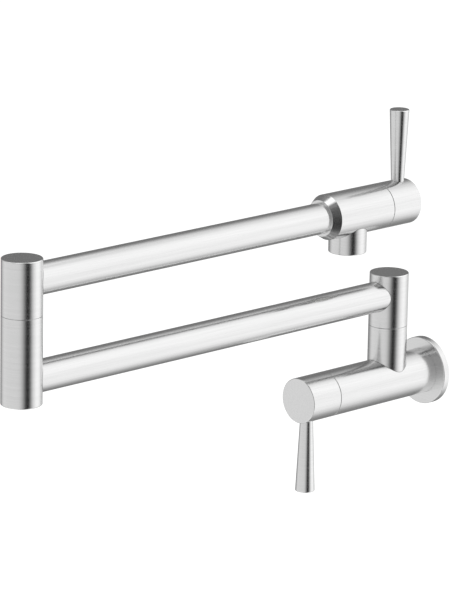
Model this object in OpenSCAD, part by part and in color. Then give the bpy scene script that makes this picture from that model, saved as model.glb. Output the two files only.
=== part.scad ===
// Wall mounted pot filler with two folding arms and a quarter-turn valve at each end.
// Millimetres. The wall is the plane y = 0 and the filler stands out from it towards -Y.
// The origin is the centre of the threaded inlet's mouth. +Z is up.
// It is drawn folded, with both valves closed.

/* [Wall side] */
// Diameter of the wall flange
flange_d = 49; // [44:1:75]
// Thickness of the wall flange
flange_t = 5.2; // [4.6:0.2:12]
// Wall to the seam between the inlet body and its hub
body_l = 100.8; // [96:0.1:130]
// Wall to the axis of the post
post_y = 40; // [37:0.5:50]
// Height of the lower arm's axis over the inlet's axis
lower_arm_z = 63.2; // [57:0.2:90]
// Bore of the inlet thread, at its crests
thread_d = 18.6; // [17:0.1:21]
// Length of the inlet thread
thread_l = 15; // [11:0.5:16]

/* [Arms] */
// Outside diameter of the arm tubes
tube_d = 22; // [19:0.5:24]
// Wall of the arm tubes
tube_wall = 1.5; // [1:0.1:2.5]
// Length of the lower arm, from post axis to elbow axis
lower_arm_l = 343; // [325:1:450]
// Length of the upper arm, from elbow axis to outlet axis
upper_arm_l = 300; // [230:1:315]
// Height of the upper arm's axis over the lower arm's axis
arm_rise = 66.8; // [64:0.2:100]

/* [Columns and swivels] */
// Diameter of the post and of the elbow column
column_d = 28; // [26.5:0.5:36]
// An arm's axis to the swivel seam under it
seam_drop = 22.2; // [21:0.1:28]
// An arm's axis to the closed end of its column
cap_h = 16.4; // [15:0.1:22]
// Running diameter of the swivel spigots
spigot_d = 17; // [15.5:0.1:17.5]
// Water bore of the swivel spigots
spigot_bore_d = 12; // [9:0.5:12]
// Length of the elbow's bearing
elbow_land_l = 22; // [18:0.5:25]

/* [Valves] */
// Diameter of the valve bodies and their hubs
valve_d = 32.5; // [31.5:0.5:40]
// Diameter of the ceramic cartridge's collar
cartridge_d = 26; // [24:0.5:26.5]
// Seam of a valve to the seat of its cartridge
seat_depth = 40; // [39:0.5:43]
// Diameter of the ceramic discs
disc_d = 16.8; // [15:0.2:17.4]
// Thickness of each ceramic disc
disc_t = 3.5; // [2.5:0.1:4]
// Diameter of the turning stem
stem_d = 10; // [9.2:0.1:11]

/* [Levers] */
// Length of a hub, from the seam to its face
hub_l = 27; // [26:0.2:40]
// Seam to the axis of the lever
lever_at = 18.4; // [15:0.2:19]
// Length of a lever, from the hub to its tip
lever_l = 51.5; // [35:0.25:90]
// Diameter of a lever at the hub
lever_root_d = 9.4; // [8:0.1:12]
// Diameter of a lever at its tip
lever_tip_d = 13.9; // [9:0.1:20]

/* [Spout] */
// Outlet axis to the seam of the spout's hub
spout_outer_l = 30.2; // [28:0.1:34]
// Outlet axis to the face where the tube goes in
spout_inner_l = 27.7; // [25:0.1:40]
// Diameter of the collar's face round the tube
collar_d = 25.8; // [25:0.1:30]
// Length of the collar's slope
collar_l = 5.8; // [2:0.1:9]
// Diameter of the outlet
outlet_d = 27; // [26.4:0.2:31]
// Length of the outlet under the valve body
outlet_l = 11.9; // [11.2:0.1:30]
// Thread diameter of the flow former
aerator_d = 24; // [20:0.5:24.5]

/* [Fits and edges] */
// Radial clearance of what turns
run_fit = 0.05; // [0.02:0.01:0.1]
// Clearance of what is welded, screwed or pressed in
seat_fit = 0.05; // [0.02:0.01:0.1]
// Gap at the seams of the two swivels
seam_gap = 0.1; // [0.05:0.05:0.5]
// Gap between a valve body and its hub
hub_gap = 0.35; // [0.15:0.05:0.5]
// Rounding of the outside edges
edge_r = 0.6; // [0.2:0.1:1.2]
// Rounding of the edges at the seams
seam_edge = 0.15; // [0.05:0.05:0.3]

/* [Hidden] */
$fn = 96;
// How far a cut runs past the face that it opens
over = 1;
// Radial clearance round what turns but isn't guided there
free_fit = 0.3;
// End play of what turns
end_play = 0.05;

steel = [0.78, 0.79, 0.80];
brass = [0.80, 0.66, 0.38];
rubber = [0.10, 0.10, 0.11];
ceramic = [0.93, 0.92, 0.89];
plastic = [0.88, 0.88, 0.86];

flange_r = flange_d / 2;
thread_r = thread_d / 2;
tube_r = tube_d / 2;
tube_bore_r = tube_r - tube_wall;
tube_hole_r = tube_r + seat_fit;
column_r = column_d / 2;
valve_r = valve_d / 2;
outlet_r = outlet_d / 2;
collar_r = collar_d / 2;

// Main heights and distances from the wall
upper_arm_z = lower_arm_z + arm_rise;
post_seam_z = lower_arm_z - seam_drop;
elbow_seam_z = upper_arm_z - seam_drop;
elbow_y = post_y + lower_arm_l;
outlet_y = elbow_y - upper_arm_l;
outlet_z = upper_arm_z - valve_r - outlet_l;
spout_seam_y = outlet_y - spout_outer_l;

// Soft rings at the wall
gasket_w = 3;
gasket_t = 1.2;
gasket_inset = 1.5;
grip_ring_r = 0.85;
flange_bore_r = valve_r + seat_fit;

// Swivels
spigot_r = spigot_d / 2;
spigot_bore_r = spigot_bore_d / 2;
spigot_bearing_r = spigot_r + run_fit;
spigot_thread_step = 1;
spigot_thread_r = spigot_r + spigot_thread_step;
post_thread_l = 13;
elbow_thread_l = 10;
washer_t = 1.2;
washer_rim = 2.5;
washer_r = column_r - washer_rim;
washer_bore_r = spigot_r + free_fit;
washer_pocket = washer_t + end_play - seam_gap;
ring_depth = 1.45;
ring_w = 2.2;
ring_ease = 0.02;
ring_groove_r = spigot_r - ring_depth;
ring_section_r = (spigot_bearing_r - ring_groove_r) / 2 - ring_ease;
ring_centre_r = (spigot_bearing_r + ring_groove_r) / 2;

// Where the shoulder's lock groove and two rings lie along its bearing
shoulder_land_l = seam_drop - seam_gap - tube_bore_r;
shoulder_groove_shares = [0.26, 0.58, 0.84];
lock_tip_r = 1.2;
lock_screw_r = 2;
lock_groove_depth = 1.2;
lock_groove_r = spigot_r - lock_groove_depth;
lock_groove_w = 2 * (lock_tip_r + free_fit);
lock_head_inset = 0.6;
lock_tip_l = 1.5;
lock_key_r = 1.15;
lock_key_depth = 2;

// Where the elbow's two rings lie along its bearing, from the seam down
elbow_ring_shares = [0.35, 0.65];
elbow_chamber_step = 2;
elbow_chamber_r = spigot_r + elbow_chamber_step;
thrust_t = 1;
clip_t = 1.2;
clip_depth = 0.9;
clip_end = 1.5;
clip_gap = 5;
elbow_run_l = seam_gap + elbow_land_l + thrust_t + clip_t + 3 * end_play + clip_end;

// Elbow plug
plug_inset = 0.3;
plug_head_t = 2.4;
plug_step = 1;
plug_head_r = elbow_chamber_r + plug_step;
plug_neck_r = elbow_chamber_r - seat_fit;
plug_neck_l = cap_h - tube_bore_r - plug_inset - plug_head_t;
plug_groove_w = 1.9;
plug_groove_depth = 1.5;
plug_ring_r = (plug_groove_depth + seat_fit) / 2 - ring_ease;
plug_key_r = 4.6;
plug_key_depth = 3;

// Valve bores, by their distance from the seam
cartridge_r = cartridge_d / 2;
valve_bore_r = cartridge_r + seat_fit;
nut_l = 9;
nut_depth = 10;
nut_step = 1.2;
nut_r = valve_bore_r + nut_step;
nut_hole_r = nut_r + seat_fit;
nut_hex_step = 1.6;
nut_hex_r = nut_r - nut_hex_step;
nut_hex_h = 5;
seat_bore_r = 6;

// Quarter-turn cartridge, along its axis from the seat up
seat_seal_t = 2.5;
seat_seal_w = 2.4;
disc_r = disc_d / 2;
disc_gap = 0.02;
shell_bore_r = disc_r + free_fit;
shell_wall = 1;
shell_r = shell_bore_r + shell_wall;
shell_lift = 0.3;
foot_t = 5;
foot_r = 6.2;
lug_w = 5;
lug_h = 3;
lug_inset = 0.4;
key_w = 3;
key_h = 1.4;
port_w = 6.4;
port_r = 2.6;
port_at = 5;
window_w = 7;
window_h = 4.4;
collar_h = 12;
boss_r = 7.8;
boss_h = 5.6;
boss_fit = 0.2;
stem_r = stem_d / 2;
stem_bore_r = stem_r + run_fit;
stem_ring_depth = 1.5;
stem_ring_w = 2.1;
stem_ring_shares = [0.3, 0.7];
stem_groove_r = stem_r - stem_ring_depth;
stem_ring_r = (stem_bore_r - stem_groove_r) / 2 - ring_ease;
stem_ring_at = (stem_bore_r + stem_groove_r) / 2;
stem_clip_t = 0.8;
stem_clip_depth = 0.8;
stem_clip_rim = 1.6;
stem_neck_step = 0.8;
collar_groove_w = 2.4;
collar_groove_depth = 1.6;
collar_ring_r = (collar_groove_depth + seat_fit) / 2 - ring_ease;
collar_top = -nut_depth;
collar_low = collar_top - collar_h;
disc_low = -seat_depth + seat_seal_t;
disc_face = disc_low + disc_t;
moving_low = disc_face + disc_gap;
moving_top = moving_low + disc_t;
foot_top = moving_top + foot_t;
chamber_top = foot_top + boss_fit;
boss_top = collar_top + boss_h;

// Splined end of the stem, and what grips it
spline_teeth = 20;
spline_depth = 0.45;
spline_r = stem_r - stem_neck_step;
spline_low = 3;
stud_r = 2.5;
stud_hole_r = stud_r + seat_fit;
stud_grip_l = 8;
stud_tip_gap = 0.1;
stem_over = 1.6;
stem_top = lever_at + stud_r + stem_over;
hub_cavity_depth = 8;
hub_cavity_r = nut_hex_r + free_fit + free_fit;
lever_root_r = lever_root_d / 2;
lever_tip_r = lever_tip_d / 2;

// Feed tube inside the inlet body
strainer_t = 1.5;
strainer_step = 0.5;
strainer_r = thread_r - strainer_step;
strainer_hole_r = 0.9;
strainer_pitch = 2.4;
strainer_rings = 2;
feed_bore_wall = 1.4;
feed_r = seat_bore_r + feed_bore_wall;
feed_lip = 3;
rear_web_t = 9.5;
feed_flange_t = 3;
feed_ledge = 0.6;
feed_ports = 10;
feed_port_r = 1.1;
feed_ring_depth = 1.1;
feed_ring_w = 1.7;
feed_ring_r = (feed_ring_depth + seat_fit) / 2 - ring_ease;
post_hole_r = 6.5;
web_y = thread_l + strainer_t;
chamber_y = web_y + rear_web_t;
seat_y = body_l - seat_depth;
feed_port_at = (shell_r + valve_bore_r) / 2;

// Flow former
tube_in_l = 10;
outlet_bore_r = 8.6;
outlet_wash_t = 1.2;
aerator_r = aerator_d / 2;
aerator_h = 7.5;
aerator_inset = 0.5;
aerator_wall = 1.8;
aerator_lip_w = 0.8;
aerator_lip_t = 1;
aerator_fill_h = 4.5;
aerator_hole_r = 0.85;
aerator_pitch = 2.5;
aerator_rings = 3;
aerator_bore_r = aerator_r - aerator_wall;
outlet_recess = aerator_inset + aerator_h + outlet_wash_t;

// Shapes that several pieces share

// Rod along +Z whose two rims are rounded
module soft_rod(r, l, low, high) {
    rotate_extrude() union() {
        translate([0, low]) square([r, l - low - high]);
        square([r - low, low + high]);
        translate([0, l - low - high]) square([r - high, low + high]);
        translate([r - low, low]) circle(low);
        translate([r - high, l - high]) circle(high);
    }
}

// Flat ring along +Z
module ring(outer, inner, l) {
    difference() {
        cylinder(r = outer, h = l);
        translate([0, 0, -over]) cylinder(r = inner, h = l + 2 * over);
    }
}

// Round-section ring in the plane z = 0
module o_ring(centre, section) {
    rotate_extrude() translate([centre, 0]) circle(section);
}

// Space of a groove that is cut into a rod of radius outer, centred on z = 0
module groove(outer, floor_r, w) {
    translate([0, 0, -w / 2]) ring(outer + over, floor_r, w);
}

// Hole along +Z from z = 0
module bore(r, l) {
    cylinder(r = r, h = l);
}

// Round holes in a hexagonal set of rings round the centre one
module hole_field(rings, pitch, r, l) {
    bore(r, l);
    for (i = [1 : rings])
        for (k = [0 : 6 * i - 1])
            rotate([0, 0, k * 60 / i])
                translate([i * pitch, 0, 0]) bore(r, l);
}

// Toothed outline of the splined stem
function spline_outline(outer, depth) = [
    for (i = [0 : 2 * spline_teeth - 1])
        let (a = i * 180 / spline_teeth, r = i % 2 == 0 ? outer : outer - depth)
            [r * cos(a), r * sin(a)]
];

// Places

// +Z of the child becomes the inlet valve's outward axis, and +X its lever's direction
module at_inlet() {
    translate([0, -body_l, 0]) rotate([0, 90, -90]) children();
}

// The same for the spout valve
module at_spout() {
    translate([0, -spout_seam_y, upper_arm_z]) rotate([0, -90, -90]) children();
}

module at_post(z) {
    translate([0, -post_y, z]) children();
}

module at_elbow(z) {
    translate([0, -elbow_y, z]) children();
}

// +Z of the child points into the part from the wall
module from_wall(y, z) {
    translate([0, -y, z]) rotate([90, 0, 0]) children();
}

// Swivels

// Threaded below z = 0, and running from there up to run_l
module spigot(thread_l, run_l, ring_heights, lock_z, lock_w, lock_r) {
    difference() {
        union() {
            translate([0, 0, -thread_l]) cylinder(r = spigot_thread_r, h = thread_l);
            cylinder(r = spigot_r, h = run_l);
        }
        translate([0, 0, -thread_l - over]) bore(spigot_bore_r, thread_l + run_l + 2 * over);
        for (z = ring_heights)
            translate([0, 0, z]) groove(spigot_r, ring_groove_r, ring_w);
        translate([0, 0, lock_z]) groove(spigot_r, lock_r, lock_w);
    }
}

// Upper half of a column, from its seam to its closed top, with the arm's hole towards side * Y
module closed_barrel(bore_r, side) {
    axis_z = seam_drop - seam_gap;
    difference() {
        soft_rod(column_r, axis_z + cap_h, seam_edge, edge_r);
        translate([0, 0, -over]) bore(bore_r, axis_z + tube_bore_r + over);
        translate([0, 0, axis_z]) rotate([-side * 90, 0, 0]) bore(tube_hole_r, column_r + over);
    }
}

// Tube between two columns or bodies, open where their bores cut it
module arm_tube(low_y, high_y) {
    difference() {
        from_wall(low_y, 0) cylinder(r = tube_r, h = high_y - low_y);
        from_wall(low_y - over, 0) bore(tube_bore_r, high_y - low_y + 2 * over);
        children();
    }
}

module tube_end_cut(y, r) {
    translate([0, -y, -column_r]) cylinder(r = r, h = column_d);
}

// Valve pieces, with the seam at z = 0 and the hub above it

module valve_bores() {
    translate([0, 0, -nut_depth]) bore(nut_hole_r, nut_depth + over);
    translate([0, 0, -seat_depth]) bore(valve_bore_r, seat_depth);
}

module seat_seal() {
    translate([0, 0, -seat_depth]) ring(disc_r, disc_r - seat_seal_w, seat_seal_t);
}

module fixed_disc() {
    translate([0, 0, disc_low]) difference() {
        cylinder(r = disc_r, h = disc_t);
        for (side = [-1, 1])
            translate([0, side * port_at, -over]) bore(port_r, disc_t + 2 * over);
    }
}

module moving_disc() {
    translate([0, 0, moving_low]) difference() {
        cylinder(r = disc_r, h = disc_t);
        for (side = [-1, 1])
            translate([side * disc_r - disc_r / 2, -port_w / 2, -over])
                cube([disc_r, port_w, disc_t + 2 * over]);
        translate([-key_w / 2, -disc_r - over, disc_t - key_h])
            cube([key_w, 2 * (disc_r + over), key_h + over]);
    }
}

// Shell that holds the discs, with a quarter-turn stop round the stem's foot
module cartridge() {
    difference() {
        union() {
            translate([0, 0, -seat_depth + shell_lift])
                cylinder(r = shell_r, h = seat_depth - shell_lift + collar_low + over);
            translate([0, 0, collar_low]) cylinder(r = cartridge_r, h = collar_h);
            translate([0, 0, collar_top - over]) cylinder(r = boss_r, h = boss_h + over);
        }
        translate([0, 0, -seat_depth]) bore(shell_bore_r, seat_depth + chamber_top);
        translate([0, 0, chamber_top - over]) bore(stem_bore_r, boss_top - chamber_top + 2 * over);
        translate([0, 0, collar_low + collar_h / 2])
            groove(cartridge_r, cartridge_r - collar_groove_depth, collar_groove_w);
        for (a = [45, 135])
            translate([0, 0, disc_face + window_h / 2]) rotate([0, 0, a])
                cube([2 * (shell_r + over), window_w, window_h], center = true);
    }
    stop_block();
}

module stop_block() {
    stop_low = foot_top - lug_h;
    clear = lug_w / 2 + free_fit;
    difference() {
        translate([0, 0, stop_low])
            ring(shell_bore_r + shell_wall / 2, foot_r + free_fit, lug_h + 2 * boss_fit);
        translate([-clear, -clear, stop_low - over]) cube([cartridge_r, cartridge_r, lug_h + 3 * over]);
    }
}

module cartridge_seal() {
    translate([0, 0, collar_low + collar_h / 2])
        o_ring(cartridge_r - (collar_groove_depth - seat_fit) / 2, collar_ring_r);
}

module cartridge_nut() {
    hex_low = nut_l - nut_depth;
    difference() {
        union() {
            translate([0, 0, -nut_depth]) cylinder(r = nut_r, h = nut_l);
            translate([0, 0, hex_low]) cylinder(r = nut_hex_r, h = nut_hex_h - hex_low, $fn = 6);
        }
        translate([0, 0, -nut_depth - over])
            bore(boss_r + boss_fit, nut_depth + nut_hex_h + 2 * over);
    }
}

module stem() {
    bearing_l = boss_top - chamber_top;
    difference() {
        union() {
            translate([0, 0, foot_top - over]) cylinder(r = stem_r, h = spline_low - foot_top + over);
            translate([0, 0, moving_top + end_play]) cylinder(r = foot_r, h = foot_t - end_play);
            translate([0, -lug_w / 2, foot_top - lug_h])
                cube([shell_bore_r - lug_inset, lug_w, lug_h]);
            translate([-key_w / 2 + boss_fit, -foot_r + boss_fit, moving_top - key_h + boss_fit])
                cube([key_w - 2 * boss_fit, 2 * (foot_r - boss_fit), key_h + over]);
            translate([0, 0, spline_low - over])
                linear_extrude(stem_top - spline_low + over)
                    polygon(spline_outline(spline_r, spline_depth));
        }
        for (s = stem_ring_shares)
            translate([0, 0, chamber_top + s * bearing_l])
                groove(stem_r, stem_groove_r, stem_ring_w);
        translate([0, 0, boss_top + end_play + stem_clip_t / 2])
            groove(stem_r, stem_r - stem_clip_depth, stem_clip_t);
    }
}

module stem_rings() {
    for (s = stem_ring_shares)
        translate([0, 0, chamber_top + s * (boss_top - chamber_top)])
            o_ring(stem_ring_at, stem_ring_r);
}

// Open retaining ring
module clip(inner, outer, t, gap) {
    difference() {
        ring(outer, inner, t);
        translate([0, -gap / 2, -over]) cube([outer + over, gap, t + 2 * over]);
    }
}

module stem_clip() {
    translate([0, 0, boss_top + end_play])
        clip(stem_r - stem_clip_depth + ring_ease, stem_r + stem_clip_rim, stem_clip_t, stem_r);
}

module hub() {
    difference() {
        translate([0, 0, hub_gap]) soft_rod(valve_r, hub_l - hub_gap, seam_edge, edge_r);
        translate([0, 0, -over]) bore(hub_cavity_r, hub_cavity_depth + over);
        linear_extrude(stem_top + free_fit)
            polygon(spline_outline(spline_r + seat_fit, spline_depth));
        translate([0, 0, lever_at]) rotate([0, 90, 0]) bore(stud_hole_r, valve_r + over);
    }
}

module lever() {
    difference() {
        translate([0, 0, lever_at]) rotate([0, 90, 0]) difference() {
            rotate_extrude() union() {
                polygon([
                    [0, 0], [lever_root_r, 0], [lever_root_r, valve_r],
                    [lever_tip_r, valve_r + lever_l - edge_r],
                    [lever_tip_r - edge_r, valve_r + lever_l], [0, valve_r + lever_l]
                ]);
                translate([lever_tip_r - edge_r, valve_r + lever_l - edge_r]) circle(edge_r);
            }
            bore(stud_hole_r, valve_r + stud_grip_l + over);
        }
        translate([0, 0, -over]) cylinder(r = valve_r + seat_fit, h = hub_l + 2 * over);
    }
}

module lever_stud() {
    tip = spline_r + stud_tip_gap;
    translate([tip, 0, lever_at]) rotate([0, 90, 0])
        cylinder(r = stud_r, h = valve_r + stud_grip_l - tip);
}

// Wall flange and what holds and seals it

module wall_flange() {
    color(steel) difference() {
        from_wall(0, 0) soft_rod(flange_r, flange_t, seam_edge, edge_r);
        from_wall(-over, 0) bore(flange_bore_r, flange_t + 2 * over);
        from_wall(-over, 0)
            ring(flange_r - gasket_inset, flange_r - gasket_inset - gasket_w, gasket_t + over);
        from_wall(flange_t / 2, 0)
            rotate_extrude() translate([flange_bore_r, 0]) circle(grip_ring_r + ring_ease);
    }
}

module flange_gasket() {
    color(rubber) from_wall(0, 0)
        ring(
            flange_r - gasket_inset - seat_fit,
            flange_r - gasket_inset - gasket_w + seat_fit,
            gasket_t
        );
}

module flange_ring() {
    color(rubber) from_wall(flange_t / 2, 0) difference() {
        o_ring(flange_bore_r, grip_ring_r);
        translate([0, 0, -grip_ring_r - over]) bore(valve_r + ring_ease, 2 * (grip_ring_r + over));
    }
}

// Inlet body, and the fixed half of the post that is welded on it

module post_bores() {
    at_post(0) bore(post_hole_r, post_seam_z + over);
    at_post(post_seam_z - washer_pocket - post_thread_l)
        bore(spigot_thread_r + seat_fit, post_thread_l + washer_pocket + over);
    at_post(post_seam_z - washer_pocket) bore(washer_r + seat_fit, washer_pocket + over);
}

module inlet_body() {
    color(steel) difference() {
        from_wall(0, 0) soft_rod(valve_r, body_l, seam_edge, seam_edge);
        from_wall(-over, 0) bore(thread_r, thread_l + over);
        from_wall(0, 0) bore(strainer_r + seat_fit, web_y);
        from_wall(0, 0) bore(seat_bore_r, chamber_y + over);
        from_wall(web_y + feed_lip, 0) bore(feed_r + seat_fit, chamber_y - web_y);
        from_wall(chamber_y, 0) bore(valve_bore_r - feed_ledge, seat_y - chamber_y);
        from_wall(seat_y - feed_flange_t, 0) bore(valve_bore_r, feed_flange_t + over);
        at_inlet() valve_bores();
        post_bores();
    }
}

module post_base() {
    color(steel) difference() {
        at_post(0) soft_rod(column_r, post_seam_z, seam_edge, seam_edge);
        from_wall(post_y - column_d, 0) cylinder(r = valve_r + seat_fit, h = 2 * column_d);
        post_bores();
    }
}

module inlet_strainer() {
    color(steel) from_wall(thread_l, 0) difference() {
        cylinder(r = strainer_r, h = strainer_t);
        translate([0, 0, -over])
            hole_field(strainer_rings, strainer_pitch, strainer_hole_r, strainer_t + 2 * over);
    }
}

module inlet_feed_tube() {
    rear_y = web_y + feed_lip + seat_fit;
    color(brass) difference() {
        union() {
            from_wall(rear_y, 0) cylinder(r = feed_r, h = seat_y - rear_y);
            from_wall(seat_y - feed_flange_t, 0)
                cylinder(r = valve_bore_r - seat_fit, h = feed_flange_t - seat_fit);
        }
        from_wall(rear_y - over, 0) bore(seat_bore_r, seat_y - rear_y + 2 * over);
        from_wall((rear_y + chamber_y) / 2, 0)
            groove(feed_r, feed_r - feed_ring_depth, feed_ring_w);
        for (k = [0 : feed_ports - 1])
            from_wall(seat_y - feed_flange_t - over, 0) rotate([0, 0, k * 360 / feed_ports])
                translate([feed_port_at, 0, 0]) bore(feed_port_r, feed_flange_t + 2 * over);
    }
}

module inlet_feed_seal() {
    color(rubber) from_wall((web_y + feed_lip + seat_fit + chamber_y) / 2, 0)
        o_ring(feed_r - (feed_ring_depth - seat_fit) / 2, feed_ring_r);
}

// The inlet valve
module inlet_seat_seal() { color(rubber) at_inlet() seat_seal(); }
module inlet_fixed_disc() { color(ceramic) at_inlet() fixed_disc(); }
module inlet_cartridge() { color(brass) at_inlet() cartridge(); }
module inlet_cartridge_seal() { color(rubber) at_inlet() cartridge_seal(); }
module inlet_cartridge_nut() { color(brass) at_inlet() cartridge_nut(); }
module inlet_moving_disc() { color(ceramic) at_inlet() moving_disc(); }
module inlet_stem() { color(brass) at_inlet() stem(); }
module inlet_stem_rings() { color(rubber) at_inlet() stem_rings(); }
module inlet_stem_clip() { color(steel) at_inlet() stem_clip(); }
module inlet_hub() { color(steel) at_inlet() hub(); }
module inlet_lever() { color(steel) at_inlet() lever(); }
module inlet_lever_stud() { color(steel) at_inlet() lever_stud(); }

// The shoulder's swivel

shoulder_base_z = post_seam_z + seam_gap;
shoulder_floor_z = post_seam_z - washer_pocket;
shoulder_lock_z = shoulder_base_z + shoulder_groove_shares[0] * shoulder_land_l;
shoulder_ring_heights = [
    for (i = [1, 2]) shoulder_base_z + shoulder_groove_shares[i] * shoulder_land_l
];

module shoulder_spigot() {
    color(brass) at_post(shoulder_floor_z)
        spigot(
            post_thread_l,
            shoulder_base_z + shoulder_land_l - shoulder_floor_z,
            [for (z = shoulder_ring_heights) z - shoulder_floor_z],
            shoulder_lock_z - shoulder_floor_z,
            lock_groove_w,
            lock_groove_r
        );
}

module shoulder_rings() {
    color(rubber)
        for (z = shoulder_ring_heights)
            at_post(z) o_ring(ring_centre_r, ring_section_r);
}

module shoulder_washer() {
    color(plastic) at_post(shoulder_floor_z) ring(washer_r, washer_bore_r, washer_t);
}

module shoulder_barrel() {
    color(steel) difference() {
        at_post(shoulder_base_z) closed_barrel(spigot_bearing_r, -1);
        at_post(shoulder_lock_z) rotate([-90, 0, 0]) bore(lock_screw_r + seat_fit, column_r + over);
    }
}

// Its dog point runs in the spigot's groove and keeps the arm from lifting off
module shoulder_lock_screw() {
    tip_y = lock_groove_r + free_fit;
    shank_y = tip_y + lock_tip_l;
    head_y = column_r - lock_head_inset;
    color(steel) at_post(shoulder_lock_z) rotate([-90, 0, 0]) difference() {
        union() {
            translate([0, 0, tip_y]) cylinder(r = lock_tip_r, h = lock_tip_l + over);
            translate([0, 0, shank_y]) cylinder(r = lock_screw_r, h = head_y - shank_y);
        }
        translate([0, 0, head_y - lock_key_depth])
            cylinder(r = lock_key_r, h = lock_key_depth + over, $fn = 6);
    }
}

// The lower arm's tube and the elbow's lower half

module lower_tube() {
    color(steel) translate([0, 0, lower_arm_z])
        arm_tube(post_y + seat_fit, elbow_y - seat_fit) {
            tube_end_cut(post_y, spigot_bearing_r);
            tube_end_cut(elbow_y, elbow_chamber_r);
        }
}

elbow_base_z = lower_arm_z - cap_h;
elbow_land_z = elbow_seam_z - elbow_land_l;

module elbow_lower_barrel() {
    color(steel) difference() {
        at_elbow(elbow_base_z)
            soft_rod(column_r, elbow_seam_z - elbow_base_z, edge_r, seam_edge);
        at_elbow(elbow_base_z - over) bore(plug_head_r + seat_fit, plug_inset + plug_head_t + over);
        at_elbow(elbow_base_z) bore(elbow_chamber_r, elbow_land_z - elbow_base_z);
        at_elbow(elbow_land_z - over) bore(spigot_bearing_r, elbow_land_l + 2 * over);
        at_elbow(elbow_seam_z - washer_pocket) bore(washer_r + seat_fit, washer_pocket + over);
        at_elbow(lower_arm_z) rotate([-90, 0, 0]) bore(tube_hole_r, column_r + over);
    }
}

plug_groove_z = plug_head_t + plug_neck_l / 2;

module elbow_plug() {
    color(steel) at_elbow(elbow_base_z + plug_inset) difference() {
        union() {
            cylinder(r = plug_head_r, h = plug_head_t);
            cylinder(r = plug_neck_r, h = plug_head_t + plug_neck_l);
        }
        translate([0, 0, plug_groove_z])
            groove(plug_neck_r, plug_neck_r - plug_groove_depth, plug_groove_w);
        translate([0, 0, -over]) cylinder(r = plug_key_r, h = plug_key_depth + over, $fn = 6);
    }
}

module elbow_plug_ring() {
    color(rubber) at_elbow(elbow_base_z + plug_inset + plug_groove_z)
        o_ring(plug_neck_r - (plug_groove_depth - seat_fit) / 2, plug_ring_r);
}

module elbow_washer() {
    color(plastic) at_elbow(elbow_seam_z - washer_pocket) ring(washer_r, washer_bore_r, washer_t);
}

// The elbow's upper half and its spigot, which hangs down through the lower half

elbow_ring_heights = [for (s = elbow_ring_shares) seam_gap + s * elbow_land_l];
elbow_clip_z = elbow_land_z - thrust_t - clip_t - 2 * end_play;

module elbow_upper_barrel() {
    color(steel) difference() {
        at_elbow(elbow_seam_z + seam_gap) closed_barrel(spigot_thread_r - spigot_thread_step / 2, 1);
        at_elbow(elbow_seam_z + seam_gap - over)
            bore(spigot_thread_r + seat_fit, elbow_thread_l + seat_fit + over);
    }
}

module elbow_spigot() {
    color(brass) at_elbow(elbow_seam_z + seam_gap) rotate([180, 0, 0])
        spigot(
            elbow_thread_l,
            elbow_run_l,
            elbow_ring_heights,
            elbow_seam_z + seam_gap - elbow_clip_z - clip_t / 2,
            clip_t,
            spigot_r - clip_depth
        );
}

module elbow_rings() {
    color(rubber)
        for (h = elbow_ring_heights)
            at_elbow(elbow_seam_z + seam_gap - h) o_ring(ring_centre_r, ring_section_r);
}

module elbow_thrust_washer() {
    color(plastic) at_elbow(elbow_land_z - thrust_t - end_play)
        ring(elbow_chamber_r - free_fit, spigot_r + ring_ease, thrust_t);
}

module elbow_clip() {
    color(steel) at_elbow(elbow_clip_z)
        clip(spigot_r - clip_depth + ring_ease, elbow_chamber_r - free_fit, clip_t, clip_gap);
}

// The upper arm's tube and the spout

collar_y = outlet_y + spout_inner_l;

module upper_tube() {
    color(steel) translate([0, 0, upper_arm_z])
        arm_tube(collar_y - tube_in_l + seat_fit, elbow_y - seat_fit)
            tube_end_cut(elbow_y, spigot_thread_r - spigot_thread_step / 2);
}

module spout_valve_body() {
    body = spout_outer_l + spout_inner_l;
    color(steel) at_spout() difference() {
        translate([0, 0, -body]) rotate_extrude() union() {
            polygon([
                [0, 0], [collar_r, 0], [valve_r, collar_l],
                [valve_r, body - seam_edge], [valve_r - seam_edge, body], [0, body]
            ]);
            translate([valve_r - seam_edge, body - seam_edge]) circle(seam_edge);
        }
        valve_bores();
        translate([0, 0, -body]) bore(seat_bore_r, body);
        translate([0, 0, -body - over]) bore(tube_hole_r, tube_in_l + over);
        translate([0, 0, -spout_outer_l]) rotate([0, -90, 0]) bore(outlet_bore_r, valve_r + over);
    }
}

module at_outlet(z) {
    translate([0, -outlet_y, z]) children();
}

module spout_outlet() {
    color(steel) difference() {
        at_outlet(outlet_z) soft_rod(outlet_r, outlet_l + valve_r, edge_r, seam_edge);
        at_outlet(outlet_z - over) bore(outlet_bore_r, outlet_l + valve_r + 2 * over);
        at_outlet(outlet_z - over) bore(aerator_r + seat_fit, outlet_recess + over);
        from_wall(outlet_y - outlet_d, upper_arm_z) cylinder(r = valve_r + seat_fit, h = 2 * outlet_d);
    }
}

module aerator_washer() {
    color(rubber) at_outlet(outlet_z + aerator_inset + aerator_h)
        ring(aerator_r - seat_fit, outlet_bore_r, outlet_wash_t - seat_fit);
}

module aerator_housing() {
    color(steel) at_outlet(outlet_z + aerator_inset) difference() {
        cylinder(r = aerator_r, h = aerator_h);
        translate([0, 0, aerator_lip_t]) bore(aerator_bore_r, aerator_h);
        translate([0, 0, -over]) bore(aerator_bore_r - aerator_lip_w, aerator_h);
    }
}

module aerator_insert() {
    color(plastic) at_outlet(outlet_z + aerator_inset + aerator_lip_t) difference() {
        cylinder(r = aerator_bore_r - seat_fit, h = aerator_fill_h);
        translate([0, 0, -over])
            hole_field(aerator_rings, aerator_pitch, aerator_hole_r, aerator_fill_h + 2 * over);
    }
}

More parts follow.
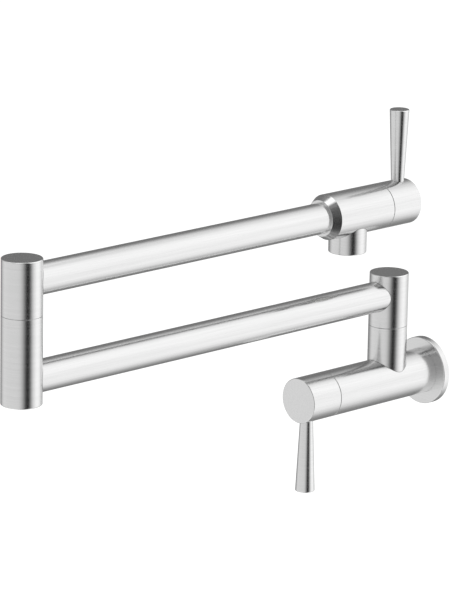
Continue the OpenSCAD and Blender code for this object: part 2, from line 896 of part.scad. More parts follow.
// The spout valve
module spout_seat_seal() { color(rubber) at_spout() seat_seal(); }
module spout_fixed_disc() { color(ceramic) at_spout() fixed_disc(); }
module spout_cartridge() { color(brass) at_spout() cartridge(); }
module spout_cartridge_seal() { color(rubber) at_spout() cartridge_seal(); }
module spout_cartridge_nut() { color(brass) at_spout() cartridge_nut(); }
module spout_moving_disc() { color(ceramic) at_spout() moving_disc(); }
module spout_stem() { color(brass) at_spout() stem(); }
module spout_stem_rings() { color(rubber) at_spout() stem_rings(); }
module spout_stem_clip() { color(steel) at_spout() stem_clip(); }
module spout_hub() { color(steel) at_spout() hub(); }
module spout_lever() { color(steel) at_spout() lever(); }
module spout_lever_stud() { color(steel) at_spout() lever_stud(); }

wall_flange();
flange_gasket();
flange_ring();
inlet_body();
post_base();
inlet_strainer();
inlet_feed_tube();
inlet_feed_seal();
inlet_seat_seal();
inlet_fixed_disc();
inlet_cartridge();
inlet_cartridge_seal();
inlet_cartridge_nut();
shoulder_spigot();
shoulder_rings();
shoulder_washer();
inlet_hub();
inlet_lever();
inlet_lever_stud();
inlet_stem();
inlet_stem_rings();
inlet_stem_clip();
inlet_moving_disc();
shoulder_barrel();
shoulder_lock_screw();
lower_tube();
elbow_lower_barrel();
elbow_plug();
elbow_plug_ring();
elbow_washer();
elbow_upper_barrel();
elbow_spigot();
elbow_rings();
elbow_thrust_washer();
elbow_clip();
upper_tube();
spout_valve_body();
spout_outlet();
aerator_washer();
aerator_housing();
aerator_insert();
spout_seat_seal();
spout_fixed_disc();
spout_cartridge();
spout_cartridge_seal();
spout_cartridge_nut();
spout_hub();
spout_lever();
spout_lever_stud();
spout_stem();
spout_stem_rings();
spout_stem_clip();
spout_moving_disc();
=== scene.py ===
"""Looks of a wall mounted pot filler. It is laid out as an add-on and run as a script."""

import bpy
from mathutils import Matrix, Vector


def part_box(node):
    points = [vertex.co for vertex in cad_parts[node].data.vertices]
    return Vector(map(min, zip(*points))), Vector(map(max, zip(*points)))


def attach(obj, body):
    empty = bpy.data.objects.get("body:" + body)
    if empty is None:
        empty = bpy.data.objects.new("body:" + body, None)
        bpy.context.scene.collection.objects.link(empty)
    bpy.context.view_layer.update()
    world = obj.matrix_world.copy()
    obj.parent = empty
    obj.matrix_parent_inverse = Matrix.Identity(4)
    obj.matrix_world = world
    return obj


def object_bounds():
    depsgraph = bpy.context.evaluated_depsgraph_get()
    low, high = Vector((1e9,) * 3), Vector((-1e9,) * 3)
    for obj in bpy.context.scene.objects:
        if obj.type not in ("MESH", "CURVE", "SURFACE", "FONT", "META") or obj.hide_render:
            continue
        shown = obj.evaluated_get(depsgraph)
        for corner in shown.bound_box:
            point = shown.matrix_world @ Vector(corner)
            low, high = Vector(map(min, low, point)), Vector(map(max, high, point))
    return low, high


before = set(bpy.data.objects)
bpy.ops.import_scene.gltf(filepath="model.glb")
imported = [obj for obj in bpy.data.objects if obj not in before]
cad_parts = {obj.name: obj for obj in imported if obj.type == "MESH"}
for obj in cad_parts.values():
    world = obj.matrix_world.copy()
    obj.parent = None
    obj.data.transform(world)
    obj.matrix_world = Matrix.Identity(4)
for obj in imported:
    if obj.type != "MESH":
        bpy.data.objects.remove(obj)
cad_low, cad_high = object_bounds()

import math

import bmesh
import bpy
from mathutils import Matrix, Vector

bl_info = {
    "name": "Pot Filler Looks",
    "version": (1, 0, 0),
    "blender": (4, 5, 0),
    "location": "View3D > Sidebar > Pot filler",
    "description": "Brushed finishes, small parts and a pale studio for a wall mounted pot filler",
    "category": "Object",
}

MM = 0.001

# The pieces by the way their grain runs
COLUMNS = ("post_base", "elbow_lower_barrel", "elbow_plug", "spout_outlet", "aerator_housing")
CAPPED_COLUMNS = ("shoulder_barrel", "elbow_upper_barrel")
ARMS = ("lower_tube", "upper_tube")
VALVES = ("inlet_body", "inlet_hub", "spout_valve_body", "spout_hub")

# The small parts by what they are made of
INNER_STEEL = (
    "inlet_strainer", "inlet_stem_clip", "inlet_lever_stud", "shoulder_lock_screw", "elbow_clip",
    "spout_lever_stud", "spout_stem_clip",
)
BRASS = (
    "inlet_feed_tube", "inlet_cartridge", "inlet_cartridge_nut", "inlet_stem", "shoulder_spigot",
    "elbow_spigot", "spout_cartridge", "spout_cartridge_nut", "spout_stem",
)
RUBBER = (
    "flange_gasket", "flange_ring", "inlet_feed_seal", "inlet_seat_seal", "inlet_cartridge_seal",
    "inlet_stem_rings", "shoulder_rings", "elbow_plug_ring", "elbow_rings", "aerator_washer",
    "spout_seat_seal", "spout_cartridge_seal", "spout_stem_rings",
)
CERAMIC = ("inlet_fixed_disc", "inlet_moving_disc", "spout_fixed_disc", "spout_moving_disc")
PLASTIC = ("shoulder_washer", "elbow_washer", "elbow_thrust_washer", "aerator_insert")

# The brushing: scale of the scratches along X, Y and Z, per metre
COLUMN_GRAIN = (60, 60, 2600)
ARM_GRAIN = (2600, 30, 2600)
VALVE_GRAIN = (1800, 40, 2600)
LEVER_GRAIN = (90, 90, 2600)
FLANGE_GRAIN = (60, 2600, 2600)

# Broad scratches lie among the fine ones, and soft clouds over both
FINE_SHARE = 0.45
BROAD_SCALE_SHARE = 0.36
CLOUD_SCALE = 26.0
CLOUD_SHARE = 0.12
STREAK_TONES = (0.32, 0.68)
STREAK_ENDS = (0.2, 0.8)
ROUGHNESS_SPREAD = 0.03

# A rim lies between the side of a piece and its end. There the steel is smoother, and its colour is
# lifted to a brighter one as a painted highlight. How far the surface has turned towards the end
# where the smoothing and the painted highlight start and are full, and then where they fade and are
# gone
RIM_START = (0.3, 0.5)
RIM_STOP = (0.95, 0.995)
RIM_SMOOTHING_SHARE = 0.4

# The mottle of the small parts
MOTTLE_SCALE = 900.0
MOTTLE_ENDS = (0.3, 0.7)
MOTTLE_ROUGHNESS = 0.04
MOTTLE_RELIEF = 0.15

RELIEF_HEIGHT = 0.02 * MM

# The inlet's thread. It starts near the wall and ends short of the strainer. Its ridge rises over
# some steps at each end, and its half widths are shares of the pitch.
THREAD_START = -1.4 * MM
THREAD_RUN_OUT = 1.2 * MM
THREAD_ROOT = 9.36 * MM
THREAD_CREST = 9.0 * MM
THREAD_ROOT_SHARE = 0.4
THREAD_CREST_SHARE = 0.1
THREAD_STEPS = 48
THREAD_RISE_STEPS = 12
THREAD_LEAST_SHARE = 0.05

# Where pieces are welded, a thin dark line of painted contact shade goes round the joint. Each
# line's body, the thin piece, the thicker piece that it leaves, the way it leaves, where 1 is up or
# towards the wall and -1 is down or away from it, and if it is upright
WELD_SHADE_LINES = {
    "post_joint_shade": ("wall_body", "post_base", "inlet_body", 1, True),
    "outlet_joint_shade": ("upper_arm", "spout_outlet", "spout_valve_body", -1, True),
    "shoulder_joint_shade": ("lower_arm", "lower_tube", "shoulder_barrel", -1, False),
    "lower_elbow_joint_shade": ("lower_arm", "lower_tube", "elbow_lower_barrel", 1, False),
    "upper_elbow_joint_shade": ("upper_arm", "upper_tube", "elbow_upper_barrel", 1, False),
}
WELD_POINTS = 120
SHADE_LINE_CORNERS = 6

# The camera's place, in millimetres, and its angles, in degrees, solved from the photograph
CAMERA_AT = (1930.60, -2012.96, 806.35)
CAMERA_AZIMUTH = 46.81448
CAMERA_ELEVATION = 15.21058
CAMERA_ROLL = 1.0468
CAMERA_LENS = 239.51
SENSOR_WIDTH = 36

# The room, in metres and watts
NEAREST_SEEN = 0.1
FARTHEST_SEEN = 100
FLOOR_REACH = 12
FLOOR_TILES = 8
FLOOR_COLOUR = (0.9, 0.9, 0.9, 1)
FLOOR_GLOW = 0.3
ROOM_LEVEL = 0.85
LAMP_AT = (0.4, -0.4, 1.9)
LAMP_WIDTH = 1.2
LAMP_POWER = 14
TENT_RADIUS = 5.4
TENT_SUBDIVISIONS = 5

# How bright the studio's tent is. Each pair is an angle in degrees and a level. Three rings go
# round the horizon from the camera towards its right: under it, at it and over it. The arch goes
# over the filler from its right side to its left, behind it. BRIGHTEST is the level that white
# stands for in the ramps that hold these tables.
BRIGHTEST = 1.1
RING_UNDER = (
    (-180, 0.20), (-165, 0.23), (-130, 0.45), (-100, 0.75), (-65, 0.92), (-40, 0.86), (-16, 0.78),
    (0, 0.58), (10, 0.32), (20, 0.08), (28, 0.02), (36, 0.02), (45, 0.14), (58, 0.5), (75, 0.9),
    (95, 0.95), (110, 0.7), (130, 0.4), (155, 0.25), (180, 0.20),
)
RING_AROUND = (
    (-180, 0.18), (-157, 0.21), (-137, 0.31), (-123, 0.55), (-111, 0.71), (-98, 0.745), (-80, 0.71),
    (-30, 0.70), (-16, 0.69), (-5, 0.635), (6, 0.45), (13, 0.29), (18, 0.17), (24, 0.07),
    (30, 0.015), (36, 0.005), (42, 0.035), (48, 0.13), (55, 0.335), (62, 0.56), (69, 0.75),
    (76, 0.88), (84, 0.98), (97, 1.06), (107, 1.04), (118, 0.92), (132, 0.72), (150, 0.58),
    (180, 0.18),
)
RING_OVER = (
    (-180, 0.14), (-140, 0.18), (-110, 0.28), (-88, 0.5), (-80, 0.85), (-68, 0.88), (-62, 0.5),
    (-50, 0.43), (-10, 0.43), (3, 0.34), (12, 0.21), (21, 0.1), (35, 0.05), (48, 0.2), (60, 0.6),
    (80, 1.0), (105, 1.0), (130, 0.8), (150, 0.55), (165, 0.25), (180, 0.14),
)
ARCH = (
    (-180, 0.20), (-136, 0.19), (-116, 0.21), (-102, 0.26), (-92, 0.34), (-82, 0.48), (-68, 0.71),
    (-54, 0.88), (-40, 0.95), (-15, 0.98), (9, 0.99), (32, 1.05), (55, 1.06), (68, 1.02),
    (80, 0.96), (94, 0.83), (109, 0.66), (121, 0.43), (131, 0.275), (143, 0.19), (160, 0.17),
    (180, 0.20),
)

# Where one part of the tent passes into the next, as the sine of the height over the horizon or
# the cosine of the angle to a direction
RINGS_MIDDLE = -0.26
OVER_EDGE = (-0.2, 0.6)
UNDER_EDGE = (-0.62, -0.34)
ARCH_EDGE = (0.12, 0.34)
BEHIND_EDGE = (-0.1, 0.4)
TOP_EDGE = (0.78, 0.9)
TOP_LEVEL = 0.22
BOTTOM_EDGE = (-0.98, -0.93)
BOTTOM_LEVEL = 0.22
ROOF_PANELS = ((-0.098, -0.183, 0.978), (-0.198, 0.318, 0.927))
ROOF_PANEL_EDGE = (0.95, 0.966)
ROOF_PANEL_LEVEL = 1.25
FLOOR_PATCH = (-0.328, 0.22, -0.92)
FLOOR_PATCH_EDGE = (0.98, 0.992)
FLOOR_PATCH_LEVEL = 0.5


# Shader maths

class Varying:
    """A socket whose value varies. Expressions on numbers of this kind add their Math nodes."""

    def __init__(self, nodes, socket):
        self.nodes = nodes
        self.socket = socket

    def _math(self, operation, *values):
        return self.nodes.add("ShaderNodeMath", {"operation": operation}, dict(enumerate(values)))

    def __add__(self, other):
        return self._math("ADD", self, other)

    __radd__ = __add__

    def __sub__(self, other):
        return self._math("SUBTRACT", self, other)

    def __rsub__(self, other):
        return self._math("SUBTRACT", other, self)

    def __mul__(self, other):
        return self._math("MULTIPLY", self, other)

    __rmul__ = __mul__

    def __truediv__(self, other):
        return self._math("DIVIDE", self, other)

    def __rtruediv__(self, other):
        return self._math("DIVIDE", other, self)

    def __abs__(self):
        return self._math("ABSOLUTE", self)

    def most(self, other):
        return self._math("MAXIMUM", self, other)

    def angle(self, across):
        """Angle from across to this number, in radians."""
        return self._math("ARCTAN2", self, across)


class Nodes:
    """The node tree of one material or world."""

    def __init__(self, owner):
        owner.use_nodes = True
        self.tree = owner.node_tree
        self.tree.nodes.clear()

    def add(self, kind, settings=None, sockets=None, out=0):
        """Adds a node. Its settings come first, then the values or links of its sockets."""
        node = self.tree.nodes.new(kind)
        for name, value in (settings or {}).items():
            if name == "stops":
                ramp = node.color_ramp.elements
                while len(ramp) > 1:
                    ramp.remove(ramp[-1])
                for number, (place, level) in enumerate(value):
                    stop = ramp.new(place) if number else ramp[0]
                    stop.position = place
                    stop.color = (level, level, level, 1)
            else:
                setattr(node, name, value)
        for name, value in (sockets or {}).items():
            if isinstance(value, Varying):
                self.tree.links.new(value.socket, node.inputs[name])
            else:
                node.inputs[name].default_value = value
        return Varying(self, node.outputs[out]) if len(node.outputs) else None

    def dot(self, vector, axis):
        return self.add(
            "ShaderNodeVectorMath", {"operation": "DOT_PRODUCT"}, {0: vector, 1: axis}, "Value"
        )

    def scaled(self, vector, factors):
        return self.add("ShaderNodeVectorMath", {"operation": "MULTIPLY"}, {0: vector, 1: factors})

    def noise(self, vector, scale=1.0, detail=2.0, rough=0.5):
        return self.add(
            "ShaderNodeTexNoise",
            {"noise_dimensions": "3D"},
            {"Vector": vector, "Scale": scale, "Detail": detail, "Roughness": rough},
        )

    def span(self, value, ends, at_low=0, at_high=1, soft=True):
        """Maps value from one end to the other to at_low..at_high, and holds it outside."""
        low, high = ends
        return self.add(
            "ShaderNodeMapRange",
            {"interpolation_type": "SMOOTHSTEP" if soft else "LINEAR", "clamp": True},
            {"Value": value, "From Min": low, "From Max": high, "To Min": at_low, "To Max": at_high},
        )

    def mix(self, factor, low, high):
        """Mixes two numbers."""
        return self.add("ShaderNodeMix", {"data_type": "FLOAT"}, {"Factor": factor, 2: low, 3: high})

    def blend(self, factor, low, high):
        """Mixes two colours."""
        low, high = (c if isinstance(c, Varying) else (*c, 1) for c in (low, high))
        return self.add("ShaderNodeMix", {"data_type": "RGBA"}, {"Factor": factor, 6: low, 7: high}, 2)

    def profile(self, up, across, levels):
        """Looks up the angle from across to up in a table of degrees and levels."""
        turns = up.angle(across) / (2 * math.pi) + 0.5
        stops = [(degrees / 360 + 0.5, level / BRIGHTEST) for degrees, level in levels]
        return self.add("ShaderNodeValToRGB", {"stops": stops}, {"Fac": turns}) * BRIGHTEST

    def surface(self, colour, metallic, roughness, relief, strength):
        """Ends a material. relief is the height that its bump follows."""
        bump = self.add(
            "ShaderNodeBump", None, {"Height": relief, "Strength": strength, "Distance": RELIEF_HEIGHT}
        )
        shader = self.add("ShaderNodeBsdfPrincipled", None, {
            "Base Color": colour, "Metallic": metallic, "Roughness": roughness, "Normal": bump,
        })
        self.add("ShaderNodeOutputMaterial", None, {"Surface": shader})


# Finishes

def brushed(name, grain, sizes, rim=None):
    """Brushed stainless steel. grain is the scale of the scratches along each axis, per metre.
    rim is the direction that the rim faces, if the piece has one. The rim is smoother and has a
    painted highlight, a brighter colour."""
    material = bpy.data.materials.new(name)
    nodes = Nodes(material)
    place = nodes.add("ShaderNodeTexCoord", out="Object")
    fine = nodes.noise(nodes.scaled(place, grain), detail=5.0, rough=0.65)
    broad = nodes.noise(nodes.scaled(place, [scale * BROAD_SCALE_SHARE for scale in grain]))
    cloud = nodes.noise(place, CLOUD_SCALE)
    streak = fine * FINE_SHARE + broad * (1 - FINE_SHARE)
    tone = nodes.span(streak + (cloud - 0.5) * CLOUD_SHARE, STREAK_TONES, soft=False)
    light = sizes.steel_colour
    dark = [channel * (1 - sizes.grain_contrast) for channel in light]
    colour = nodes.blend(tone, dark, light)
    least, most = (sizes.steel_roughness + side * ROUGHNESS_SPREAD for side in (-1, 1))
    roughness = nodes.span(streak, STREAK_ENDS, least, most)
    if rim:
        lean = nodes.dot(nodes.add("ShaderNodeTexCoord", out="Normal"), rim)
        polish_and_highlight = nodes.span(lean, RIM_START) * nodes.span(lean, RIM_STOP, 1, 0)
        # Painted highlight: the rim's colour is lifted to a brighter colour. The lower roughness below
        # is real polish.
        colour = nodes.blend(polish_and_highlight, colour, sizes.painted_rim_highlight)
        roughness = roughness * (1 - polish_and_highlight * RIM_SMOOTHING_SHARE)
    nodes.surface(colour, 1.0, roughness, streak, sizes.grain_depth)
    return material


def plain(name, colour, roughness, metallic=0, mottle=0.04):
    """A finish for the small parts: turned or moulded, with a slight mottle."""
    material = bpy.data.materials.new(name)
    nodes = Nodes(material)
    place = nodes.add("ShaderNodeTexCoord", out="Object")
    grain = nodes.noise(place, MOTTLE_SCALE, 3.0, 0.6)
    dark = [channel * (1 - mottle) for channel in colour]
    nodes.surface(
        nodes.blend(nodes.span(grain, MOTTLE_ENDS), dark, colour), metallic,
        nodes.span(grain, MOTTLE_ENDS, roughness - MOTTLE_ROUGHNESS, roughness + MOTTLE_ROUGHNESS),
        grain, MOTTLE_RELIEF,
    )
    return material


def dress(names, material):
    """Gives CAD nodes a finish."""
    for name in names:
        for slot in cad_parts[name].material_slots:
            slot.material = material


# Meshes

def add_object(name, shape, material):
    """Turns a bmesh into an object of the scene."""
    mesh = bpy.data.meshes.new(name)
    shape.to_mesh(mesh)
    shape.free()
    mesh.materials.append(material)
    item = bpy.data.objects.new(name, mesh)
    bpy.context.scene.collection.objects.link(item)
    return item


def add_piece(name, shape, material, body):
    """Turns a bmesh into a steel piece that rides on a body."""
    bmesh.ops.recalc_face_normals(shape, faces=shape.faces)
    piece = add_object(name, shape, material)
    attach(piece, body)


def skin(shape, rings):
    """Joins each ring of corners to the next with faces."""
    for near, far in zip(rings, rings[1:]):
        for corner in range(len(near)):
            after = (corner + 1) % len(near)
            shape.faces.new((near[corner], near[after], far[after], far[corner]))


def thread_ridge(start, end, pitch):
    """The ridge of an inside thread round the Y axis, from start to end, in metres."""
    shape = bmesh.new()
    count = int((start - end) / pitch * THREAD_STEPS)
    root_half = THREAD_ROOT_SHARE * pitch
    crest_half = THREAD_CREST_SHARE * pitch
    rings = []
    for number in range(count + 1):
        angle = 2 * math.pi * number / THREAD_STEPS
        along = start + (end - start) * number / count
        to_end = min(number, count - number)
        share = min(1, to_end / THREAD_RISE_STEPS + THREAD_LEAST_SHARE)
        top = THREAD_ROOT - (THREAD_ROOT - THREAD_CREST) * share
        outline = (
            (THREAD_ROOT, -root_half), (top, -crest_half), (top, crest_half), (THREAD_ROOT, root_half),
        )
        rings.append([
            shape.verts.new((radius * math.cos(angle), along + offset, radius * math.sin(angle)))
            for radius, offset in outline
        ])
    skin(shape, rings)
    shape.faces.new(rings[0])
    shape.faces.new(reversed(rings[-1]))
    return shape


def weld_points(thin, thick, side, upright):
    """Points where a thin round piece meets a thicker one at right angles, in metres. The thin
    one leaves it towards side, 1 or -1, and is upright or else level."""
    boxes = [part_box(name) for name in (thin, thick)]
    thin_radius, thick_radius = ((high.x - low.x) / 2 for low, high in boxes)
    thin_middle, thick_middle = ((high + low) / 2 for low, high in boxes)
    points = []
    for number in range(WELD_POINTS):
        angle = 2 * math.pi * number / WELD_POINTS
        across = thin_radius * math.cos(angle)
        along = thin_radius * math.sin(angle)
        out = side * math.sqrt(thick_radius ** 2 - across ** 2)
        if upright:
            points.append(Vector((across, thin_middle.y + along, thick_middle.z + out)))
        else:
            points.append(Vector((across, thick_middle.y + out, thin_middle.z + along)))
    return points


def joint_shade_line(points, radius):
    """A fine closed line of painted contact shade along points, in metres, where two welded pieces
    meet.
    """
    shape = bmesh.new()
    rings = []
    side = (points[1] - points[-1]).orthogonal()
    for number, point in enumerate(points):
        ahead = (points[(number + 1) % len(points)] - points[number - 1]).normalized()
        side = (side - ahead * side.dot(ahead)).normalized()
        other = ahead.cross(side)
        rings.append([])
        for corner in range(SHADE_LINE_CORNERS):
            angle = 2 * math.pi * corner / SHADE_LINE_CORNERS
            offset = side * math.cos(angle) + other * math.sin(angle)
            rings[-1].append(shape.verts.new(point + radius * offset))
    shift = min(range(SHADE_LINE_CORNERS), key=lambda k: (rings[0][k].co - rings[-1][0].co).length)
    rings.append(rings[0][shift:] + rings[0][:shift])
    skin(shape, rings)
    return shape


# What a user may change

class PotFillerSizes(bpy.types.PropertyGroup):
    steel_colour: bpy.props.FloatVectorProperty(
        name="Steel colour", description="Colour of the brushed steel", subtype="COLOR",
        default=(0.733, 0.733, 0.733), min=0, max=1,
    )
    # A painted highlight: the brighter colour of the rims of caps and levers.
    painted_rim_highlight: bpy.props.FloatVectorProperty(
        name="Rim colour", description="Colour of the polished rims of caps and levers",
        subtype="COLOR", default=(0.91, 0.91, 0.91), min=0, max=1,
    )
    # Painted shade: the dark colour of the lines along the welded joints, where shade falls between
    # the pieces.
    painted_joint_shade: bpy.props.FloatVectorProperty(
        name="Weld colour", description="Colour of the fine lines where welded pieces meet",
        subtype="COLOR", default=(0.28, 0.28, 0.28), min=0, max=1,
    )
    steel_roughness: bpy.props.FloatProperty(
        name="Steel roughness", description="How soft the reflections in the steel are",
        default=0.2, min=0.05, max=0.8, subtype="FACTOR",
    )
    grain_contrast: bpy.props.FloatProperty(
        name="Grain contrast", description="How much darker the scratches of the grain are",
        default=0.085, min=0, max=0.5, subtype="FACTOR",
    )
    grain_depth: bpy.props.FloatProperty(
        name="Grain depth", description="Strength of the relief of the grain",
        default=0.12, min=0, max=1, subtype="FACTOR",
    )
    panel_light: bpy.props.FloatProperty(
        name="Panel light", description="How strong the panels are that the steel reflects",
        default=1.236, min=0, max=4,
    )
    thread_pitch: bpy.props.FloatProperty(
        name="Thread pitch", description="Distance from ridge to ridge in the inlet",
        default=1.814 * MM, min=0.8 * MM, max=3 * MM, unit="LENGTH",
    )
    joint_shade_width: bpy.props.FloatProperty(
        name="Weld width", description="Width of the fine lines where welded pieces meet",
        default=0.3 * MM, min=0.1 * MM, max=2 * MM, unit="LENGTH",
    )
    floor_drop: bpy.props.FloatProperty(
        name="Floor drop", description="Height of the lowest point of the filler over the floor",
        default=0.5, min=0.01, unit="LENGTH",
    )


# Steps

class POTFILLER_OT_columns(bpy.types.Operator):
    """Brush the post, the elbow column and the outlet round their axes"""

    bl_idname = "potfiller.columns"
    bl_label = "Columns and outlet"

    def execute(self, context):
        sizes = context.scene.pot_filler
        dress(COLUMNS, brushed("brushed_round_columns", COLUMN_GRAIN, sizes))
        # The caps' rims get a painted highlight.
        dress(CAPPED_COLUMNS, brushed("brushed_round_caps", COLUMN_GRAIN, sizes, (0, 0, 1)))
        return {"FINISHED"}


class POTFILLER_OT_arms(bpy.types.Operator):
    """Brush the two arm tubes along their length"""

    bl_idname = "potfiller.arms"
    bl_label = "Arms"

    def execute(self, context):
        dress(ARMS, brushed("brushed_along_arms", ARM_GRAIN, context.scene.pot_filler))
        return {"FINISHED"}


class POTFILLER_OT_valves(bpy.types.Operator):
    """Brush the valve bodies and their hubs along their length"""

    bl_idname = "potfiller.valves"
    bl_label = "Valve bodies and hubs"

    def execute(self, context):
        dress(VALVES, brushed("brushed_along_valves", VALVE_GRAIN, context.scene.pot_filler))
        return {"FINISHED"}


class POTFILLER_OT_levers(bpy.types.Operator):
    """Brush the two levers round their axes"""

    bl_idname = "potfiller.levers"
    bl_label = "Levers"

    def execute(self, context):
        sizes = context.scene.pot_filler
        # The levers' rims get a painted highlight.
        for name, end in (("inlet_lever", -1), ("spout_lever", 1)):
            dress((name,), brushed("brushed_" + name, LEVER_GRAIN, sizes, (0, 0, end)))
        return {"FINISHED"}


class POTFILLER_OT_flange(bpy.types.Operator):
    """Brush the wall flange with straight lines"""

    bl_idname = "potfiller.flange"
    bl_label = "Wall flange"

    def execute(self, context):
        dress(("wall_flange",), brushed("brushed_flange", FLANGE_GRAIN, context.scene.pot_filler))
        return {"FINISHED"}


class POTFILLER_OT_inlet_thread(bpy.types.Operator):
    """Put the ridge of the pipe thread in the inlet's bore"""

    bl_idname = "potfiller.inlet_thread"
    bl_label = "Inlet thread"

    def execute(self, context):
        strainer_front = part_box("inlet_strainer")[1].y
        pitch = context.scene.pot_filler.thread_pitch
        ridge = thread_ridge(THREAD_START, strainer_front + THREAD_RUN_OUT, pitch)
        material = plain("cut_steel", (0.62, 0.62, 0.63), metallic=1, roughness=0.28)
        add_piece("inlet_thread", ridge, material, "wall_body")
        return {"FINISHED"}


class POTFILLER_OT_joint_shade(bpy.types.Operator):
    """Draw fine dark lines of painted contact shade where the post, the arms and the outlet are welded
    on
    """

    bl_idname = "potfiller.welds"
    bl_label = "Weld lines"

    def execute(self, context):
        sizes = context.scene.pot_filler
        # The lines are painted contact shade: a dark steel round each welded joint.
        material = plain("painted_joint_shade_lines", sizes.painted_joint_shade, metallic=1, roughness=0.45)
        for name, (body, *where) in WELD_SHADE_LINES.items():
            line = joint_shade_line(weld_points(*where), sizes.joint_shade_width / 2)
            add_piece(name, line, material, body)
        return {"FINISHED"}


class POTFILLER_OT_inner_parts(bpy.types.Operator):
    """Finish the brass, rubber, ceramic, plastic and plain steel parts inside"""

    bl_idname = "potfiller.inner_parts"
    bl_label = "Inner parts"

    def execute(self, context):
        dress(INNER_STEEL, plain("plain_steel", (0.6, 0.6, 0.61), metallic=1, roughness=0.3))
        dress(BRASS, plain("turned_brass", (0.72, 0.52, 0.25), metallic=1, roughness=0.3))
        dress(RUBBER, plain("black_rubber", (0.03, 0.03, 0.03), roughness=0.6, mottle=0.2))
        dress(CERAMIC, plain("white_ceramic", (0.86, 0.85, 0.82), roughness=0.15))
        dress(PLASTIC, plain("pale_plastic", (0.8, 0.8, 0.78), roughness=0.4))
        return {"FINISHED"}


class POTFILLER_OT_stage(bpy.types.Operator):
    """Make the pale studio and the camera"""

    bl_idname = "potfiller.stage"
    bl_label = "Studio and camera"

    def execute(self, context):
        make_floor(context)
        make_tent(context)
        make_room(context)
        make_lamp(context)
        make_camera(context)
        context.scene.view_settings.view_transform = "Standard"
        return {"FINISHED"}


# Studio

def make_floor(context):
    material = bpy.data.materials.new("floor")
    nodes = Nodes(material)
    glow = nodes.add("ShaderNodeLightPath", out="Is Camera Ray") * FLOOR_GLOW
    nodes.add("ShaderNodeOutputMaterial", None, {"Surface": nodes.add("ShaderNodeAddShader", None, {
        0: nodes.add("ShaderNodeBsdfDiffuse", None, {"Color": FLOOR_COLOUR}),
        1: nodes.add("ShaderNodeEmission", None, {"Color": glow, "Strength": 1.0}),
    })})
    shape = bmesh.new()
    bmesh.ops.create_grid(
        shape, x_segments=FLOOR_TILES, y_segments=FLOOR_TILES, size=FLOOR_REACH
    )
    floor = add_object("floor", shape, material)
    floor.location = (0, 0, cad_low.z - context.scene.pot_filler.floor_drop)
    floor.visible_glossy = False


def tent_level(nodes, toward):
    """How bright the tent is in a direction."""
    azimuth = math.radians(CAMERA_AZIMUTH)
    front = nodes.dot(toward, (math.sin(azimuth), -math.cos(azimuth), 0))
    right = nodes.dot(toward, (math.cos(azimuth), math.sin(azimuth), 0))
    side = nodes.dot(toward, (1, 0, 0))
    depth = nodes.dot(toward, (0, 1, 0))
    height = nodes.dot(toward, (0, 0, 1))
    under, around, over = (
        nodes.profile(right, front, ring) for ring in (RING_UNDER, RING_AROUND, RING_OVER)
    )
    level = nodes.mix(nodes.span(height, OVER_EDGE, soft=False), around, over)
    level = nodes.mix(nodes.span(height, UNDER_EDGE, 1, 0), level, under)
    behind = nodes.span(abs(height - RINGS_MIDDLE), ARCH_EDGE) * nodes.span(depth, BEHIND_EDGE)
    level = nodes.mix(behind, level, nodes.profile(height, side, ARCH))
    level = nodes.mix(nodes.span(height, TOP_EDGE), level, TOP_LEVEL)
    panels = [nodes.dot(toward, panel) for panel in ROOF_PANELS]
    level = nodes.mix(nodes.span(panels[0].most(panels[1]), ROOF_PANEL_EDGE), level, ROOF_PANEL_LEVEL)
    level = nodes.mix(nodes.span(height, BOTTOM_EDGE, 1, 0), level, BOTTOM_LEVEL)
    patch = nodes.span(nodes.dot(toward, FLOOR_PATCH), FLOOR_PATCH_EDGE)
    return nodes.mix(patch, level, FLOOR_PATCH_LEVEL)


def make_tent(context):
    """A tent of soft panels that only reflections see."""
    material = bpy.data.materials.new("tent")
    material.cycles.emission_sampling = "NONE"
    nodes = Nodes(material)
    toward = nodes.scaled(nodes.add("ShaderNodeTexCoord", out="Object"), [1 / TENT_RADIUS] * 3)
    nodes.add("ShaderNodeOutputMaterial", None, {"Surface": nodes.add(
        "ShaderNodeEmission", None,
        {"Color": tent_level(nodes, toward), "Strength": context.scene.pot_filler.panel_light},
    )})
    shape = bmesh.new()
    bmesh.ops.create_icosphere(shape, subdivisions=TENT_SUBDIVISIONS, radius=TENT_RADIUS)
    tent = add_object("tent", shape, material)
    tent.location = (cad_low + cad_high) / 2
    for kind in ("camera", "diffuse", "transmission", "volume_scatter", "shadow"):
        setattr(tent, "visible_" + kind, False)


def make_room(context):
    """The white room round the tent."""
    world = bpy.data.worlds.new("room")
    context.scene.world = world
    nodes = Nodes(world)
    seen = nodes.add("ShaderNodeLightPath", out="Is Camera Ray")
    for kind in ("Is Glossy Ray", "Is Transmission Ray"):
        seen = seen.most(nodes.add("ShaderNodeLightPath", out=kind))
    nodes.add("ShaderNodeOutputWorld", None, {"Surface": nodes.add(
        "ShaderNodeBackground", None, {"Color": nodes.mix(seen, ROOM_LEVEL, 1.0), "Strength": 1.0}
    )})


def make_lamp(context):
    data = bpy.data.lights.new("overhead", "AREA")
    data.shape = "SQUARE"
    data.size = LAMP_WIDTH
    data.energy = LAMP_POWER
    lamp = bpy.data.objects.new("overhead", data)
    lamp.location = LAMP_AT
    lamp.visible_glossy = False
    context.scene.collection.objects.link(lamp)


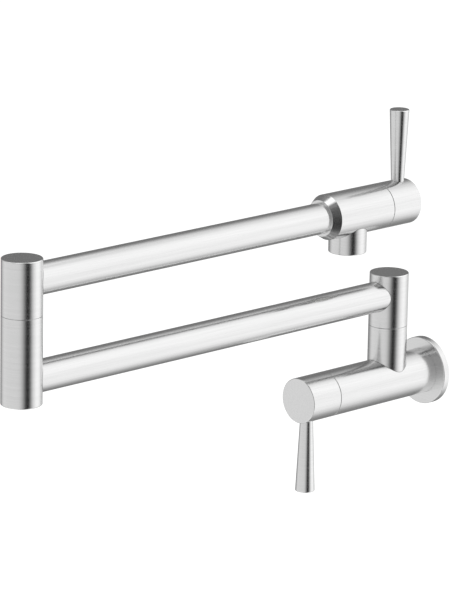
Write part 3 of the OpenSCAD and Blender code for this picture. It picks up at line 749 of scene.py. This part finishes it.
def camera_axes():
    """Right, up and ahead of the camera."""
    azimuth, elevation, roll = (
        math.radians(angle) for angle in (CAMERA_AZIMUTH, CAMERA_ELEVATION, CAMERA_ROLL)
    )
    ahead = Vector((
        -math.sin(azimuth) * math.cos(elevation), math.cos(azimuth) * math.cos(elevation),
        -math.sin(elevation),
    ))
    level = Vector((math.cos(azimuth), math.sin(azimuth), 0))
    upright = level.cross(ahead)
    right = level * math.cos(roll) + upright * math.sin(roll)
    up = upright * math.cos(roll) - level * math.sin(roll)
    return right, up, ahead


def make_camera(context):
    data = bpy.data.cameras.new("Camera")
    data.lens = CAMERA_LENS
    data.sensor_width = SENSOR_WIDTH
    data.sensor_fit = "AUTO"
    data.clip_start = NEAREST_SEEN
    data.clip_end = FARTHEST_SEEN
    camera = bpy.data.objects.new("Camera", data)
    context.scene.collection.objects.link(camera)
    right, up, ahead = camera_axes()
    turn = Matrix((right, up, -ahead)).transposed().to_4x4()
    camera.matrix_world = Matrix.Translation(Vector(CAMERA_AT) * MM) @ turn
    context.scene.camera = camera


class POTFILLER_PT_panel(bpy.types.Panel):
    """Lists the steps of the pot filler's looks"""

    bl_idname = "POTFILLER_PT_panel"
    bl_label = "Pot filler"
    bl_space_type = "VIEW_3D"
    bl_region_type = "UI"
    bl_category = "Pot filler"

    def draw(self, context):
        sizes = context.scene.pot_filler
        for name in PotFillerSizes.__annotations__:
            self.layout.prop(sizes, name)
        for step in STEPS:
            self.layout.operator(step.bl_idname)


STEPS = (
    POTFILLER_OT_columns, POTFILLER_OT_arms, POTFILLER_OT_valves, POTFILLER_OT_levers,
    POTFILLER_OT_flange, POTFILLER_OT_inlet_thread, POTFILLER_OT_joint_shade, POTFILLER_OT_inner_parts,
    POTFILLER_OT_stage,
)
CLASSES = (PotFillerSizes, *STEPS, POTFILLER_PT_panel)


def register():
    for item in CLASSES:
        bpy.utils.register_class(item)
    bpy.types.Scene.pot_filler = bpy.props.PointerProperty(type=PotFillerSizes)


def unregister():
    del bpy.types.Scene.pot_filler
    for item in reversed(CLASSES):
        bpy.utils.unregister_class(item)


def main():
    register()
    bpy.ops.potfiller.columns()
    bpy.ops.potfiller.arms()
    bpy.ops.potfiller.valves()
    bpy.ops.potfiller.levers()
    bpy.ops.potfiller.flange()
    bpy.ops.potfiller.inlet_thread()
    bpy.ops.potfiller.welds()
    bpy.ops.potfiller.inner_parts()
    bpy.ops.potfiller.stage()


if __name__ == "__main__":
    main()
